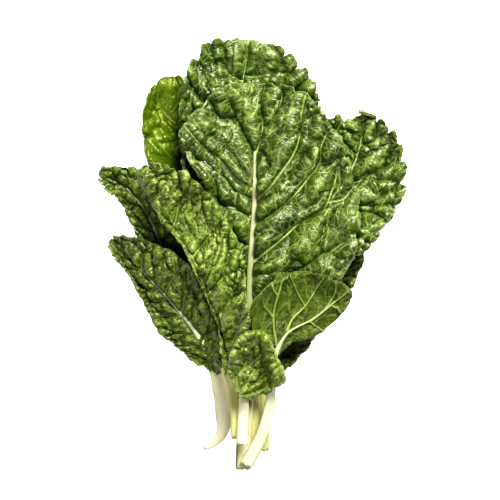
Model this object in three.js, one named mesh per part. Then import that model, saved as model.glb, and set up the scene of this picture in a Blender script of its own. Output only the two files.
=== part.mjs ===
// A bunch of white-stalked chard, lying on a flat surface as it is laid down after picking.
// +X is to the right, +Y runs from the cut stalks to the leaf tips, +Z is up. Sizes are in mm.
//
// Each chard leaf is two pieces: a stalk, which is the petiole and the midrib it becomes, and a
// blade. The leaves are laid down one by one. A height map holds the top of the pile so far, and
// each new piece is draped over it, so that no piece enters another.

import * as THREE from "three";

// ---- driving sizes ----
const bladeThickness = 1.8; // a blade with its finest puckers
const stalkFlatness = 0.5; // a stalk's thickness over its width
const bladeGap = 0.8; // air between a blade and what it lies on
const stalkGap = 0.4; // air between a stalk and what it lies on
const ruffleLength = 48; // one wave along a blade's margin
const ruffleRise = 0.14; // a wave's height over its length
const bladeSteps = { across: 12, along: 20 };
const stalkSteps = { around: 8, along: 20 };

// ---- the leaves, in the order they are laid down ----
// petiole: plan points from the cut end to the blade's base; midrib: from there to the tip.
// left, right: half widths of the blade at equal steps from base to tip, before its ends are
// rounded. cup: how far its left and right margins stand up. ruffle: where the waves of those
// margins start. widths: the stalk's width at equal steps from the cut end to the tip.
const leaves = [
  {
    name: "left_back",
    petiole: [[-24, -178], [-30, -130], [-44, -88]],
    midrib: [[-56, -60], [-84, 0], [-104, 42], [-122, 64], [-150, 80]],
    left: [12, 16, 18, 18, 18, 22],
    right: [14, 24, 32, 34, 28, 20],
    cup: [6, 4],
    ruffle: [0, 0.5],
    widths: [12, 12, 11, 9, 6, 3, 1.6],
  },
  {
    name: "left_pale",
    petiole: [[-6, -184], [-8, -140], [-14, -104]],
    midrib: [[-18, -84], [-38, 0], [-60, 80], [-73, 132], [-79, 178]],
    left: [14, 20, 26, 34, 42, 46],
    right: [14, 20, 26, 34, 40, 44],
    cup: [14, 2],
    ruffle: [0.3, 0.7],
    widths: [12, 12, 10, 8, 5, 3, 1.6],
  },
  {
    name: "right_low_back",
    petiole: [[19, -204], [20, -160], [24, -130]],
    midrib: [[28, -116], [52, -80], [84, -40], [104, -12], [118, 12]],
    left: [12, 20, 26, 28, 28, 24],
    right: [28, 25, 16, 17, 20, 20],
    cup: [2, 6],
    ruffle: [0.6, 0.1],
    widths: [9, 10, 9, 7, 5, 3, 1.6],
  },
  {
    name: "right_back",
    petiole: [[16, -180], [20, -135], [27, -104]],
    midrib: [[32, -86], [62, -6], [92, 54], [113, 94], [122, 138]],
    left: [16, 30, 44, 54, 66, 90],
    right: [14, 26, 42, 57, 64, 54],
    cup: [4, 10],
    ruffle: [0.15, 0.6],
    widths: [11, 12, 10, 8, 5, 3, 1.6],
  },
  {
    name: "crown",
    petiole: [[7, -198], [8, -144], [6, -112]],
    midrib: [[5, -92], [0, 0], [-5, 90], [-6, 150], [4, 216]],
    left: [20, 36, 50, 60, 70, 92],
    right: [20, 36, 54, 72, 98, 136],
    cup: [8, 8],
    ruffle: [0.45, 0.9],
    widths: [11, 12, 11, 8, 5, 3, 1.6],
  },
  {
    name: "left_low",
    petiole: [[-43, -201], [-35, -197], [-25, -186], [-22, -160], [-25, -134]],
    midrib: [[-28, -122], [-50, -84], [-76, -52], [-106, -20], [-140, 10]],
    left: [22, 29, 30, 22, 14, 14],
    right: [24, 36, 40, 40, 34, 30],
    cup: [5, 4],
    ruffle: [0.75, 0.2],
    widths: [4, 15, 21, 13, 5, 2, 1],
  },
  {
    name: "main",
    petiole: [[-3, -218], [-2, -186], [1, -140], [2, -104]],
    midrib: [[3, -78], [4, -20], [8, 40], [9, 100], [5, 169]],
    left: [24, 30, 36, 56, 90, 98],
    right: [92, 110, 106, 100, 96, 99],
    cup: [7, 8],
    ruffle: [0.2, 0.65],
    widths: [15, 14, 10.5, 7.5, 6, 4.6, 2.6],
  },
  {
    name: "right_low",
    petiole: [[0, -213], [9, -197], [16, -182], [21, -166], [25, -142], [27, -116]],
    midrib: [[28, -104], [40, -82], [65, -68], [88, -50], [103, -38]],
    left: [30, 50, 56, 54, 48, 40],
    right: [9, 12, 15, 17, 18, 18],
    cup: [10, 2],
    ruffle: [0.5, 0],
    widths: [12.5, 12, 10, 6, 4, 3, 1.6],
  },
  {
    name: "left_mid",
    petiole: [[-9, -186], [-10, -158], [-13, -134]],
    midrib: [[-17, -120], [-22, -72], [-38, -34], [-57, 6], [-81, 38], [-109, 79]],
    left: [12, 8, 6, 6, 8, 10],
    right: [16, 30, 42, 46, 54, 66],
    cup: [7, 3],
    ruffle: [0.85, 0.4],
    widths: [11, 12, 11, 7, 5, 3, 1.6],
  },
  {
    name: "front_small",
    petiole: [[-4, -191], [-3, -170], [-2, -152]],
    midrib: [[-2, -144], [3, -126], [6, -106], [5, -92], [4, -78]],
    left: [12, 19, 24, 25, 22, 18],
    right: [22, 29, 31, 27, 24, 22],
    cup: [5, 5],
    ruffle: [0.35, 0.8],
    widths: [11, 11.5, 10.5, 8, 4, 2.4, 1.4],
  },
];

// ---- the pile: a height map of the top of everything laid down so far ----
const pileReach = 260;
const pileCell = 2.5;
const pileSide = (2 * pileReach) / pileCell;
const pileTop = new Float32Array(pileSide * pileSide);

const pileColumn = (value) => Math.floor((value + pileReach) / pileCell);

function raisePile(x, y, top) {
  const cell = pileColumn(y) * pileSide + pileColumn(x);
  pileTop[cell] = Math.max(pileTop[cell], top);
}

function pileTopNear(x, y, radius) {
  const reach = Math.ceil(radius / pileCell);
  let top = 0;
  for (let row = -reach; row <= reach; row += 1) {
    for (let column = -reach; column <= reach; column += 1) {
      if (Math.hypot(row, column) * pileCell > radius + pileCell) continue;
      top = Math.max(top, pileTop[(pileColumn(y) + row) * pileSide + pileColumn(x) + column]);
    }
  }
  return top;
}

// ---- helpers ----
const planCurve = (points) =>
  new THREE.CatmullRomCurve3(points.map(([x, y]) => new THREE.Vector3(x, y, 0)));

// A value from a list at equal steps over 0 to 1.
function along(list, share) {
  const place = Math.min(Math.max(share, 0), 1) * (list.length - 1);
  const step = Math.min(Math.floor(place), list.length - 2);
  return THREE.MathUtils.lerp(list[step], list[step + 1], place - step);
}

// The direction to the right of a curve, in plan.
function rightOf(curve, share) {
  const ahead = curve.getTangentAt(share);
  return new THREE.Vector3(ahead.y, -ahead.x, 0).normalize();
}

// ---- blades ----
// A place on the blade from a place in the square -1 to 1: the square is rounded to a disc, and
// the disc is stretched to the blade's half widths on each side of the midrib.
function bladePlace(leaf, curve, a, b) {
  const across = a * Math.sqrt(1 - (b * b) / 2);
  const share = (b * Math.sqrt(1 - (a * a) / 2) + 1) / 2;
  const half = along(across < 0 ? leaf.left : leaf.right, share);
  const point = curve.getPointAt(share).addScaledVector(rightOf(curve, share), across * half);
  const chord = Math.sqrt(Math.max(1 - (2 * share - 1) ** 2, 1e-6));
  const side = across < 0 ? 0 : 1;
  const wave = Math.sin(((share * curve.getLength()) / ruffleLength + leaf.ruffle[side]) * 2 * Math.PI);
  const ruffle = ruffleLength * ruffleRise * Math.min(share * 2, 1) * (0.5 + 0.5 * wave);
  const outward = Math.min(Math.abs(across) / chord, 1);
  return { point, rise: (leaf.cup[side] + ruffle) * outward ** 3 };
}

// Lifts a grid of heights until it clears the floor below it, and stiffens it: a point may be
// raised to the mean of its neighbours, and never lowered.
function drape(floor, rows, columns, rounds) {
  let heights = floor.slice();
  for (let round = 0; round < rounds; round += 1) {
    const before = heights.slice();
    for (let row = 0; row < rows; row += 1) {
      for (let column = 0; column < columns; column += 1) {
        const up = before[Math.min(row + 1, rows - 1) * columns + column];
        const down = before[Math.max(row - 1, 0) * columns + column];
        const east = before[row * columns + Math.min(column + 1, columns - 1)];
        const west = before[row * columns + Math.max(column - 1, 0)];
        const cell = row * columns + column;
        heights[cell] = Math.max(floor[cell], (up + down + east + west) / 4);
      }
    }
  }
  return heights;
}

// Runs a function over evenly spaced spots of one quad of a blade's grid.
function overQuad(places, columns, row, column, visit) {
  const samples = 8;
  const corner = (r, c) => places[(row + r) * columns + column + c].point;
  for (let i = 0; i <= samples; i += 1) {
    const low = corner(0, 0).clone().lerp(corner(0, 1), i / samples);
    const high = corner(1, 0).clone().lerp(corner(1, 1), i / samples);
    for (let j = 0; j <= samples; j += 1) visit(low.clone().lerp(high, j / samples));
  }
}

// The lowest height for each point of a blade's grid, so that the quads round it clear the pile.
function bladeFloor(places, rows, columns) {
  const floor = new Array(rows * columns).fill(bladeThickness / 2);
  for (let row = 0; row < rows - 1; row += 1) {
    for (let column = 0; column < columns - 1; column += 1) {
      let top = 0;
      overQuad(places, columns, row, column, (spot) => {
        top = Math.max(top, pileTopNear(spot.x, spot.y, pileCell));
      });
      if (top === 0) continue;
      for (const cell of [0, 1, columns, columns + 1].map((step) => row * columns + column + step)) {
        floor[cell] = Math.max(floor[cell], top + bladeGap + bladeThickness / 2);
      }
    }
  }
  return floor;
}

function layBlade(leaf) {
  const curve = planCurve(leaf.midrib);
  const columns = bladeSteps.across + 1;
  const rows = bladeSteps.along + 1;
  const places = [];
  for (let row = 0; row < rows; row += 1) {
    for (let column = 0; column < columns; column += 1) {
      const a = (2 * column) / bladeSteps.across - 1;
      const b = (2 * row) / bladeSteps.along - 1;
      places.push(bladePlace(leaf, curve, a, b));
    }
  }

  const floor = bladeFloor(places, rows, columns);
  const heights = drape(floor, rows, columns, 3);
  places.forEach(({ point, rise }, cell) => {
    point.z = heights[cell] + rise;
  });

  const geometry = new THREE.BoxGeometry(2, 2, 1, bladeSteps.across, bladeSteps.along, 1);
  const position = geometry.getAttribute("position");
  for (let i = 0; i < position.count; i += 1) {
    const column = Math.round(((position.getX(i) + 1) / 2) * bladeSteps.across);
    const row = Math.round(((position.getY(i) + 1) / 2) * bladeSteps.along);
    const { point } = places[row * columns + column];
    position.setXYZ(i, point.x, point.y, point.z + position.getZ(i) * bladeThickness);
  }

  for (let row = 0; row < rows - 1; row += 1) {
    for (let column = 0; column < columns - 1; column += 1) {
      overQuad(places, columns, row, column, ({ x, y, z }) => raisePile(x, y, z + bladeThickness / 2));
    }
  }
  return geometry;
}

// ---- stalks ----
function layStalk(leaf) {
  const curve = planCurve([...leaf.petiole, ...leaf.midrib.slice(0, -1)]);
  const rings = stalkSteps.along + 1;
  const shares = Array.from({ length: rings }, (_, ring) => ring / stalkSteps.along);

  // Runs a function over evenly spaced spots of the stretch between two rings.
  const overStretch = (ring, visit) => {
    const samples = 10;
    for (let i = 0; i <= samples; i += 1) {
      const share = Math.min(shares[ring] + i / samples / stalkSteps.along, 1);
      const centre = curve.getPointAt(share);
      const half = along(leaf.widths, share) / 2;
      const right = rightOf(curve, share);
      for (let side = -1; side <= 1; side += 0.25) {
        visit(centre.clone().addScaledVector(right, half * side), i / samples, half);
      }
    }
  };

  const floor = shares.map((share) => (along(leaf.widths, share) * stalkFlatness) / 2);
  for (let ring = 0; ring < rings - 1; ring += 1) {
    let top = 0;
    overStretch(ring, (spot, _, half) => {
      const below = pileTopNear(spot.x, spot.y, pileCell);
      if (below > 0) top = Math.max(top, below + stalkGap + half * stalkFlatness);
    });
    floor[ring] = Math.max(floor[ring], top);
    floor[ring + 1] = Math.max(floor[ring + 1], top);
  }
  const heights = drape(floor, rings, 1, 12);
  const centres = shares.map((share, ring) => curve.getPointAt(share).setZ(heights[ring]));

  const geometry = new THREE.CylinderGeometry(1, 1, 1, stalkSteps.around, stalkSteps.along);
  const position = geometry.getAttribute("position");
  for (let i = 0; i < position.count; i += 1) {
    const ring = Math.round((position.getY(i) + 0.5) * stalkSteps.along);
    const half = along(leaf.widths, shares[ring]) / 2;
    const right = rightOf(curve, shares[ring]);
    const before = centres[Math.max(ring - 1, 0)];
    const ahead = centres[Math.min(ring + 1, rings - 1)].clone().sub(before).normalize();
    const up = new THREE.Vector3().crossVectors(right, ahead).normalize();
    const spot = centres[ring].clone();
    spot.addScaledVector(right, position.getX(i) * half);
    spot.addScaledVector(up, position.getZ(i) * half * stalkFlatness);
    position.setXYZ(i, spot.x, spot.y, Math.max(spot.z, 0));
  }

  for (let ring = 0; ring < rings - 1; ring += 1) {
    overStretch(ring, (spot, share, half) => {
      const height = THREE.MathUtils.lerp(heights[ring], heights[ring + 1], share);
      raisePile(spot.x, spot.y, height + half * stalkFlatness);
    });
  }
  return geometry;
}

// ---- the bunch ----
const bladeGreen = new THREE.MeshStandardMaterial({ color: 0x4f7a1a, roughness: 0.42, metalness: 0 });
const paleGreen = new THREE.MeshStandardMaterial({ color: 0x7f9f2c, roughness: 0.42, metalness: 0 });
const stalkWhite = new THREE.MeshStandardMaterial({ color: 0xeae8cf, roughness: 0.38, metalness: 0 });
const stalkYellow = new THREE.MeshStandardMaterial({ color: 0xc9c46c, roughness: 0.4, metalness: 0 });
const yellowStalks = ["crown", "right_back", "right_low_back", "left_mid"];

const bunch = new THREE.Group();
for (const leaf of leaves) {
  const blade = new THREE.Mesh(layBlade(leaf), leaf.name === "left_pale" ? paleGreen : bladeGreen);
  blade.name = `${leaf.name}_blade`;
  const stalk = new THREE.Mesh(layStalk(leaf), yellowStalks.includes(leaf.name) ? stalkYellow : stalkWhite);
  stalk.name = `${leaf.name}_stalk`;
  bunch.add(blade, stalk);
}

// The origin is under the middle of the bunch, on the surface it lies on.
const box = new THREE.Box3().setFromObject(bunch);
const middle = box.getCenter(new THREE.Vector3());
bunch.position.set(-middle.x, -middle.y, -box.min.z);

export default bunch;
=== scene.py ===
import math
import bmesh
import bpy
import numpy as np
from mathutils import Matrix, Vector
from mathutils.bvhtree import BVHTree


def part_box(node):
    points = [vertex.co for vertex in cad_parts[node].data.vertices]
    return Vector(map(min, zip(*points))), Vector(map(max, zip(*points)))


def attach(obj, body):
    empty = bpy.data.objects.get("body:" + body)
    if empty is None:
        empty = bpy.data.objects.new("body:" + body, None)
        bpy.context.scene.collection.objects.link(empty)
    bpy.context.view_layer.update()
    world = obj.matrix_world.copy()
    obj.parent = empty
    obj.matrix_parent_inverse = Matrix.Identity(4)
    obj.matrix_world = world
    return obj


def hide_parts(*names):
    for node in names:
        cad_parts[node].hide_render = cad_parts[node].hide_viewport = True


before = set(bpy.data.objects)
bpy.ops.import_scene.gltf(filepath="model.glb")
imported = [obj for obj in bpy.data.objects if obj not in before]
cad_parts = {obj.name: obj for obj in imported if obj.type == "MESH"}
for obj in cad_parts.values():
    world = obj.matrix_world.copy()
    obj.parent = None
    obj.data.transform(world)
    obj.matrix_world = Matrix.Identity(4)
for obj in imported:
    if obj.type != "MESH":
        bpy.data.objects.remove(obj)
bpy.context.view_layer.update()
mm = 0.001  # the sizes of leaves and stalks are in millimetres

view = {"lens": 85, "sensor": 36, "width": 0.5, "focusHeight": 0.03, "aim": (-0.0003, 0.0016)}
studio = {
    "floorSize": 6.0,
    "floorColour": (0.93, 0.93, 0.92, 1),
    "glowColour": (1, 1, 1, 1),
    "floorGlow": 0.86,
    "floorRoughness": 0.9,
    "worldStrength": 0.05,
    "keyPlace": (0.42, 0.95, 1.15),
    "keySize": 0.8,
    "keyPower": 84,
    "fillPlace": (-0.55, -0.65, 1.3),
    "fillSize": 1.0,
    "fillPower": 16,
}


def addObject(name, data):
    made = bpy.data.objects.new(name, data)
    bpy.context.collection.objects.link(made)
    return made


def meshFrom(bm, name):
    mesh = bpy.data.meshes.new(name)
    bm.to_mesh(mesh)
    bm.free()
    return mesh


def setInputs(tree, node, inputs):
    for key, value in inputs.items():
        if isinstance(value, bpy.types.NodeSocket):
            tree.links.new(value, node.inputs[key])
        else:
            node.inputs[key].default_value = value


def placeCamera():
    camera = addObject("camera", bpy.data.cameras.new("camera"))
    camera.data.lens = view["lens"]
    camera.data.sensor_width = view["sensor"]
    distance = view["width"] * view["lens"] / view["sensor"]
    camera.location = (*view["aim"], distance + view["focusHeight"])  # looks straight down
    bpy.context.scene.camera = camera


def addAreaLight(name, place, size, power):
    light = bpy.data.lights.new(name, "AREA")
    light.shape = "DISK"
    light.size = size
    light.energy = power
    lamp = addObject(name, light)
    lamp.location = place
    lamp.rotation_euler = (-Vector(place)).to_track_quat("-Z", "Y").to_euler()


def dressStudio():
    bm = bmesh.new()
    bmesh.ops.create_grid(bm, x_segments=1, y_segments=1, size=studio["floorSize"] / 2)
    floor = addObject("floor", meshFrom(bm, "floor"))
    paper = bpy.data.materials.new("floorPaper")
    paper.use_nodes = True
    setInputs(paper.node_tree, paper.node_tree.nodes["Principled BSDF"], {
        "Base Color": studio["floorColour"],
        "Roughness": studio["floorRoughness"],
        "Emission Color": studio["glowColour"],  # a lit table, so shadows stay faint
        "Emission Strength": studio["floorGlow"],
    })
    floor.data.materials.append(paper)

    world = bpy.data.worlds.new("studio")
    world.use_nodes = True
    setInputs(world.node_tree, world.node_tree.nodes["Background"], {
        "Color": studio["glowColour"],
        "Strength": studio["worldStrength"],
    })
    bpy.context.scene.world = world
    addAreaLight("key", studio["keyPlace"], studio["keySize"], studio["keyPower"])
    addAreaLight("fill", studio["fillPlace"], studio["fillSize"], studio["fillPower"])
    bpy.context.scene.view_settings.view_transform = "Standard"
    bpy.context.scene.view_settings.look = "Medium High Contrast"


placeCamera()
dressStudio()
print("studio ready")

# The leaves, in the order they lie from the bottom up.
# petiole, midrib: the stalk's line from its cut end to the blade, and the blade's from base to tip
# left, right: the blade's half widths at equal steps from base to tip; widths: the stalk's, from the cut end
# grid: the blade's steps across and along; veins: the number of side veins a side, or their plan lines
# puff, roll: the swelling between side veins, and broad waves; panel: how wide the veins' valleys are
# folds, cells, wrinkles: ever finer puckers (size, height); crumple: sharp ridges, as a share of the cells
# pleats: short folds running out from the veins (size, height)
# lobes: the margin's scallops (length, height, depth); points: its tips and notches (place, reach, width)
# ridges: raised or sunken lines (points, rise, width)
# rib: how much of the stalk's width shows on the blade, and how deep it sits there
# ribSpan: where along the blade the rib has a valley of its own; neckCover: how deep the base covers it
# steepest: the steepest slope that the leaf falls at; underside: this side shows, so its veins stand up
leaves = {
    "left_back": {
        "petiole": [[-24, -178], [-30, -130], [-44, -88]],
        "midrib": [[-56, -60], [-84, 0], [-104, 42], [-122, 64], [-150, 80]],
        "left": [12, 16, 18, 18, 18, 22],
        "right": [14, 24, 32, 34, 28, 20],
        "widths": [12, 12, 11, 9, 6, 3, 1.6],
        "grid": (110, 200), "veins": 6,
        "puff": 4, "folds": (16, 6.5), "cells": (10, 3.0), "wrinkles": (5, 0.9), "roll": 3,
        "pleats": (4, 2.4), "lobes": (15, 6, 5), "rib": (0.7, 0.5),
        "look": "darkLeaf",
    },
    "left_pale": {
        "petiole": [[-6, -184], [-8, -140], [-14, -104]],
        "midrib": [[-18, -84], [-38, 0], [-60, 80], [-73, 132], [-79, 178]],
        "left": [14, 20, 26, 34, 42, 46],
        "right": [14, 20, 26, 34, 40, 44],
        "widths": [12, 12, 10, 8, 5, 3, 1.6],
        "grid": (120, 230), "veins": 6,
        "puff": 2, "folds": (44, 5), "cells": (24, 1.4), "wrinkles": (9, 0.3), "roll": 4,
        "pleats": (7, 1.2), "panel": 7, "lobes": (22, 3, 2.5), "rib": (0.5, 1.2),
        "ridges": [
            [[[-103, 122], [-90, 130], [-74, 119]], 3, 2.5], [[[-103, 122], [-89, 113], [-74, 119]], 3, 2.5],
        ],
        "look": "paleLeaf", "slot": "pale_blade",
    },
    "right_low_back": {
        "petiole": [[19, -204], [20, -160], [24, -130]],
        "midrib": [[28, -116], [52, -80], [84, -40], [104, -12], [118, 12]],
        "left": [12, 20, 26, 28, 28, 24],
        "right": [28, 25, 16, 17, 20, 20],
        "widths": [9, 10, 9, 7, 5, 3, 1.6],
        "grid": (110, 190), "veins": 5,
        "puff": 3, "folds": (18, 6), "cells": (12, 2.4), "wrinkles": (6, 0.7), "roll": 3,
        "pleats": (5, 1.5), "lobes": (15, 5, 4), "rib": (0.6, 0.8),
        "points": [([40, -108], 9, 10)],
        "look": "darkLeaf", "stalk": "yellow_stalk",
    },
    "right_back": {
        "petiole": [[16, -180], [20, -135], [27, -104]],
        "midrib": [[32, -86], [62, -6], [92, 54], [113, 94], [122, 138]],
        "left": [16, 30, 44, 54, 66, 90],
        "right": [14, 26, 42, 57, 64, 54],
        "widths": [11, 12, 10, 8, 5, 3, 1.6],
        "grid": (170, 240), "veins": 6,
        "puff": 5, "folds": (22, 8), "cells": (14, 3.0), "wrinkles": (6, 0.6), "roll": 4,
        "pleats": (5, 1.8), "panel": 6, "crumple": 0.3, "lobes": (18, 14, 10), "rib": (0.6, 0.8),
        "points": [([84, 148], 9, 6), ([108, 134], -9, 6), ([124, 136], 5, 6), ([72, 132], -6, 5),
                   ([146, 112], 5, 9), ([146, 50], 6, 12)],
        "look": "glossyLeaf", "stalk": "yellow_stalk",
    },
    "crown": {
        "petiole": [[7, -198], [8, -144], [6, -112]],
        "midrib": [[5, -92], [0, 0], [-5, 90], [-6, 150], [4, 216]],
        "left": [20, 36, 50, 60, 70, 92],
        "right": [20, 36, 54, 72, 98, 136],
        "widths": [11, 12, 11, 8, 5, 3, 1.6],
        "grid": (170, 250), "veins": 7,
        "puff": 6, "folds": (26, 10), "cells": (17, 3.0), "wrinkles": (6, 0.5), "roll": 5,
        "pleats": (6, 2.2), "panel": 7, "crumple": 0.25, "lobes": (24, 13, 9), "rib": (0.6, 0.6),
        "points": [([-14, 208], -4, 9), ([50, 184], -5, 9)],
        "ridges": [
            [[[-70, 192], [-56, 176], [-38, 156]], 6, 4],
            [[[-74, 178], [-60, 163], [-44, 142]], 6, 4],
            [[[-73, 186], [-58, 170], [-41, 149]], -4, 3],
        ],
        "look": "greenLeaf", "stalk": "yellow_stalk",
    },
    "left_low": {
        "petiole": [[-43, -201], [-35, -197], [-25, -186], [-22, -160], [-25, -134]],
        "midrib": [[-28, -122], [-50, -84], [-76, -52], [-106, -20], [-140, 10]],
        "left": [22, 29, 30, 22, 14, 14],
        "right": [24, 36, 40, 40, 34, 30],
        "widths": [4, 15, 21, 13, 5, 2, 1],
        "grid": (150, 220), "veins": 8,
        "puff": 4, "folds": (15, 6.5), "cells": (9, 3.0), "wrinkles": (4.5, 1.0), "roll": 3,
        "pleats": (4, 2.6), "lobes": (14, 6, 4), "rib": (0.6, 0.4),
        "ribSpan": (0.24, 0.97), "neckCover": 2.4, "steepest": 0.6,
        "ridges": [
            [[[-62, 10], [-48, -30], [-34, -66], [-24, -98]], 5, 4],
            [[[-71, 4], [-58, -30], [-44, -62], [-34, -88]], -4, 4],
        ],
        "look": "darkLeaf", "stalkLook": "cream_stalk_painted_lighter",
    },
    "main": {
        "petiole": [[-3, -218], [-2, -186], [1, -140], [2, -104]],
        "midrib": [[3, -78], [4, -20], [8, 40], [9, 100], [5, 169]],
        "left": [24, 30, 36, 56, 90, 98],
        "right": [92, 110, 106, 100, 96, 99],
        "widths": [15, 14, 10.5, 7.5, 6, 4.6, 2.6],
        "grid": (190, 240),
        "veins": [
            [[11, 52], [29, 71], [49, 100], [55, 118], [54, 135], [60, 156]],
            [[11, 27], [42, 49], [65, 76], [73, 87], [76, 105], [86, 122]],
            [[73, 87], [92, 92], [104, 98]], [[6, -12], [35, 11], [54, 28], [74, 39], [82, 49], [91, 79]],
            [[82, 49], [98, 52], [106, 60]], [[9, -52], [22, -40], [40, -28], [70, -8], [98, 8]],
            [[11, 100], [17, 122], [16, 154], [20, 166]], [[17, 122], [32, 138], [38, 160]],
            [[8, 100], [-9, 131], [-19, 154]], [[-9, 131], [-27, 137], [-34, 150]],
            [[6, 63], [-9, 70], [-26, 91], [-42, 103], [-61, 122]],
            [[6, 34], [-11, 43], [-27, 48], [-31, 68], [-44, 84], [-56, 102]],
            [[5, 4], [-12, 14], [-26, 30], [-38, 52]], [[4, -30], [-10, -22], [-20, -8]],
        ],
        "puff": 9, "folds": (32, 12), "cells": (20, 2.4), "wrinkles": (6, 0.4), "roll": 6,
        "pleats": (8, 2.4), "panel": 9, "crumple": 0.2, "lobes": (25, 7, 5), "rib": (1.0, 0.3),
        "ribSpan": (0, 0.72),
        "ridges": [
            [[[-4, 68], [-12, 74], [-27, 94], [-44, 106], [-60, 124]], 5, 6],
            [[[2, 54], [-12, 60], [-30, 80], [-44, 92]], -5, 5],
            [[[12, 50], [37, 70], [60, 103], [68, 138]], -6, 4],
            [[[14, 60], [34, 82], [48, 108]], 4, 8],
            [[[-50, 66], [-34, 60], [-24, 44], [-10, 20], [-2, -10], [-3, -40]], -5, 4],
        ],
        "look": "glossyLeaf", "stalkLook": "khaki_stalk_with_shaded_neck",
    },
    "right_low": {
        "petiole": [[0, -213], [9, -197], [16, -182], [21, -166], [25, -142], [27, -116]],
        "midrib": [[28, -104], [40, -82], [65, -68], [88, -50], [103, -38]],
        "left": [30, 50, 56, 54, 48, 40],
        "right": [9, 12, 15, 17, 18, 18],
        "widths": [12.5, 12, 10, 6, 4, 3, 1.6],
        "grid": (180, 190), "underside": True,
        "veins": [
            [[29, -93], [26, -66], [30, -45], [32, -37], [40, -22]], [[26, -66], [18, -54], [14, -44]],
            [[30, -45], [24, -36], [26, -26]], [[40, -79], [46, -66], [58, -55], [71, -35], [76, -26]],
            [[58, -55], [48, -37], [44, -24]], [[76, -60], [88, -42], [90, -32]],
            [[64, -70], [74, -80], [78, -84]], [[84, -54], [94, -58], [100, -62]],
        ],
        "puff": 3, "folds": (30, 4), "cells": (15, 1.6), "wrinkles": (7, 0.4), "roll": 4,
        "pleats": (6, 0.9), "panel": 7, "lobes": (20, 3, 3), "rib": (0.4, 0.2), "steepest": 0.3,
        "look": "underLeaf",
    },
    "left_mid": {
        "petiole": [[-9, -186], [-10, -158], [-13, -134]],
        "midrib": [[-17, -120], [-22, -72], [-38, -34], [-57, 6], [-81, 38], [-109, 79]],
        "left": [12, 8, 6, 6, 8, 10],
        "right": [16, 30, 42, 46, 54, 66],
        "widths": [11, 12, 11, 7, 5, 3, 1.6],
        "grid": (170, 230), "veins": 6,
        "puff": 3.4, "folds": (17, 7), "cells": (10, 2.8), "wrinkles": (4.4, 1.0), "roll": 4,
        "pleats": (4, 2.2), "lobes": (17, 8, 5), "rib": (0.6, 1.9),
        "look": "savoyLeaf", "stalk": "yellow_stalk",
    },
    "front_small": {
        "petiole": [[-4, -191], [-3, -170], [-2, -152]],
        "midrib": [[-2, -144], [3, -126], [6, -106], [5, -92], [4, -78]],
        "left": [12, 19, 24, 25, 22, 18],
        "right": [22, 29, 31, 27, 24, 22],
        "widths": [11, 11.5, 10.5, 8, 4, 2.4, 1.4],
        "grid": (130, 150),
        "veins": [
            [[-9, -138], [0, -130], [10, -127], [19, -121]],
            [[-9, -136], [-8, -122], [-2, -113], [3, -100]],
            [[-6, -141], [6, -138], [16, -134], [24, -127]], [[-8, -121], [0, -114], [6, -108], [7, -94]],
            [[0, -130], [8, -118], [17, -110]], [[4, -112], [12, -104], [14, -90]],
        ],
        "puff": 2.4, "folds": (13, 4.5), "cells": (7, 1.3), "wrinkles": (4, 0.8), "roll": 3,
        "pleats": (3, 1.8), "lobes": (11, 5, 4), "rib": (0.6, 2.2),
        "points": [([35, -124], 6, 7), ([31, -102], -5, 7), ([18, -80], 6, 6), ([-18, -108], -5, 8)],
        "ridges": [
            [[[-12, -100], [-7, -118], [4, -124], [12, -112], [13, -94]], 4, 3],
            [[[18, -84], [22, -104], [30, -122]], 4, 3.5], [[[14, -84], [17, -104], [23, -122]], -4, 3],
        ],
        "look": "savoyLeaf",
    },
}
usual = {"panel": 4.5, "crumple": 0.4, "ribSpan": (0, 0.97), "neckCover": 0, "steepest": 0.9,
         "points": [], "ridges": [], "underside": False, "slot": "green_blade", "stalk": "white_stalk"}
firstSeed = 11  # each leaf's random fields start from a seed of its own
for seed, leaf in enumerate(leaves.values(), firstSeed):
    leaf["seed"] = seed
    for key, value in usual.items():
        leaf.setdefault(key, value)

# leaves calm down by coverCalm where they lie deeper than coverMargin under others
sheet = {"thickness": 0.7, "gap": 0.3, "coverMargin": 9, "coverCalm": 0.72}


def smoothStep(low, high, value):
    t = np.clip((value - low) / (high - low), 0, 1)
    return t * t * (3 - 2 * t)


def planCurve(points, steps=120):
    # a centripetal Catmull-Rom curve, measured along its length
    spots = np.array(points, float)
    spots = np.vstack([2 * spots[0] - spots[1], spots, 2 * spots[-1] - spots[-2]])
    gaps = np.sqrt(np.linalg.norm(np.diff(spots, axis=0), axis=1))
    t = np.linspace(0, 1, steps, endpoint=False)[:, None]
    line = []
    for k in range(1, len(spots) - 2):
        before, here, there, after = spots[k - 1:k + 3]
        a, b, c = gaps[k - 1:k + 2]
        leave = ((here - before) / a - (there - before) / (a + b) + (there - here) / b) * b
        arrive = ((there - here) / b - (after - here) / (b + c) + (after - there) / c) * b
        line.append(here + leave * t + (3 * (there - here) - 2 * leave - arrive) * t ** 2
                    + (2 * (here - there) + leave + arrive) * t ** 3)
    line = np.vstack(line + [spots[-2:-1]])
    reach = np.concatenate([[0], np.cumsum(np.linalg.norm(np.diff(line, axis=0), axis=1))])
    return {"line": line, "reach": reach, "length": reach[-1]}


def pointAt(curve, share):
    inside = np.clip(share, 0, 1)
    reach = inside * curve["length"]
    x = np.interp(reach, curve["reach"], curve["line"][:, 0])
    y = np.interp(reach, curve["reach"], curve["line"][:, 1])
    start = curve["line"][1] - curve["line"][0]
    end = curve["line"][-1] - curve["line"][-2]
    beyond = np.maximum(share - 1, 0)[..., None] * end / np.linalg.norm(end)
    beyond = beyond + np.minimum(share, 0)[..., None] * start / np.linalg.norm(start)
    return np.stack([x, y], -1) + beyond * curve["length"]


def rightAt(curve, share):
    ahead = unit(pointAt(curve, np.minimum(share + 0.005, 1)) - pointAt(curve, np.maximum(share - 0.005, 0)))
    return np.stack([ahead[..., 1], -ahead[..., 0]], -1)


def unit(vectors):
    return vectors / np.maximum(np.linalg.norm(vectors, axis=-1, keepdims=True), 1e-6)


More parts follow.
